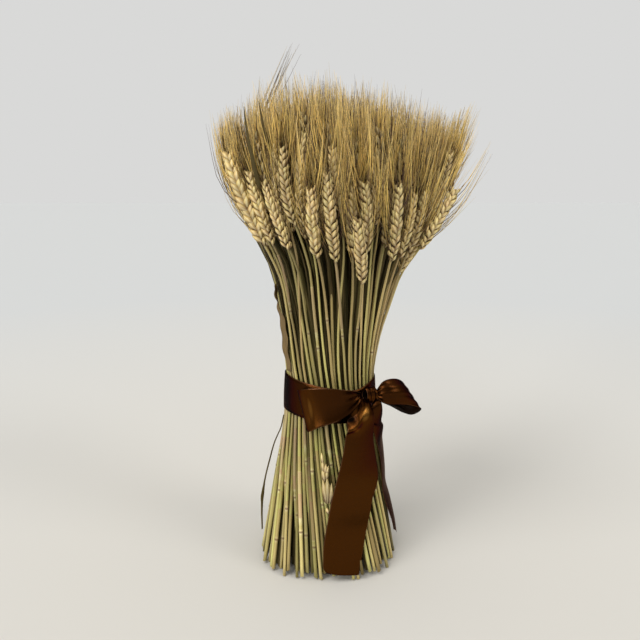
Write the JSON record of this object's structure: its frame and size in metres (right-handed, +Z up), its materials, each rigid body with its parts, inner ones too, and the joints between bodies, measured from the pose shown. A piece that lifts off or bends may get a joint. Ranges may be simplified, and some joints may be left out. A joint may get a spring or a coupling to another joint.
{
  "type": "bundle of dried wheat",
  "caption": "Upright sheaf of dried bearded wheat on its cut stems, tied round the waist with a wide brown satin ribbon and a bow.",
  "frame": {"origin": "centre of the cut face of the middle stalk, on the surface the sheaf stands on", "axes": "+Z up along the sheaf, -Y towards the side that shows the bow's tail, +X towards the bow's free loop"},
  "size_m": [0.2209, 0.2078, 0.4698],
  "materials": {
    "straw": "dry straw, slightly glossy stems and matte ears",
    "satin_ribbon": "chocolate brown satin",
    "chaff": "dry matte husk",
    "dry_leaf": "dry matte leaf"
  },
  "bodies": {
    "root": {"stalk_01": "straw", "stalk_02": "straw", "stalk_03": "straw", "stalk_04": "straw", "stalk_05": "straw", "stalk_06": "straw", "stalk_07": "straw", "stalk_08": "straw", "stalk_09": "straw", "stalk_10": "straw", "stalk_11": "straw", "stalk_12": "straw", "stalk_13": "straw", "stalk_14": "straw", "stalk_15": "straw", "stalk_16": "straw", "stalk_17": "straw", "stalk_18": "straw", "stalk_19": "straw", "stalk_20": "straw", "stalk_21": "straw", "stalk_22": "straw", "stalk_23": "straw", "stalk_24": "straw", "stalk_25": "straw", "stalk_26": "straw", "stalk_27": "straw", "stalk_28": "straw", "stalk_29": "straw", "stalk_30": "straw", "stalk_31": "straw", "stalk_32": "straw", "stalk_33": "straw", "stalk_34": "straw", "stalk_35": "straw", "stalk_36": "straw", "stalk_37": "straw", "stalk_38": "straw", "stalk_39": "straw", "stalk_40": "straw", "stalk_41": "straw", "stalk_42": "straw", "stalk_43": "straw", "stalk_44": "straw", "stalk_45": "straw", "stalk_46": "straw", "stalk_47": "straw", "stalk_48": "straw", "inner_stalks": "straw", "ribbon_band": "satin_ribbon", "bow_knot": "satin_ribbon", "bow_loop_left": "satin_ribbon", "bow_loop_right": "satin_ribbon", "ribbon_tail_front": "satin_ribbon", "ribbon_tail_back": "satin_ribbon", "loose_ear": "chaff", "dry_leaf": "dry_leaf", "dry_blade": "dry_leaf"}
  },
  "joints": []
}
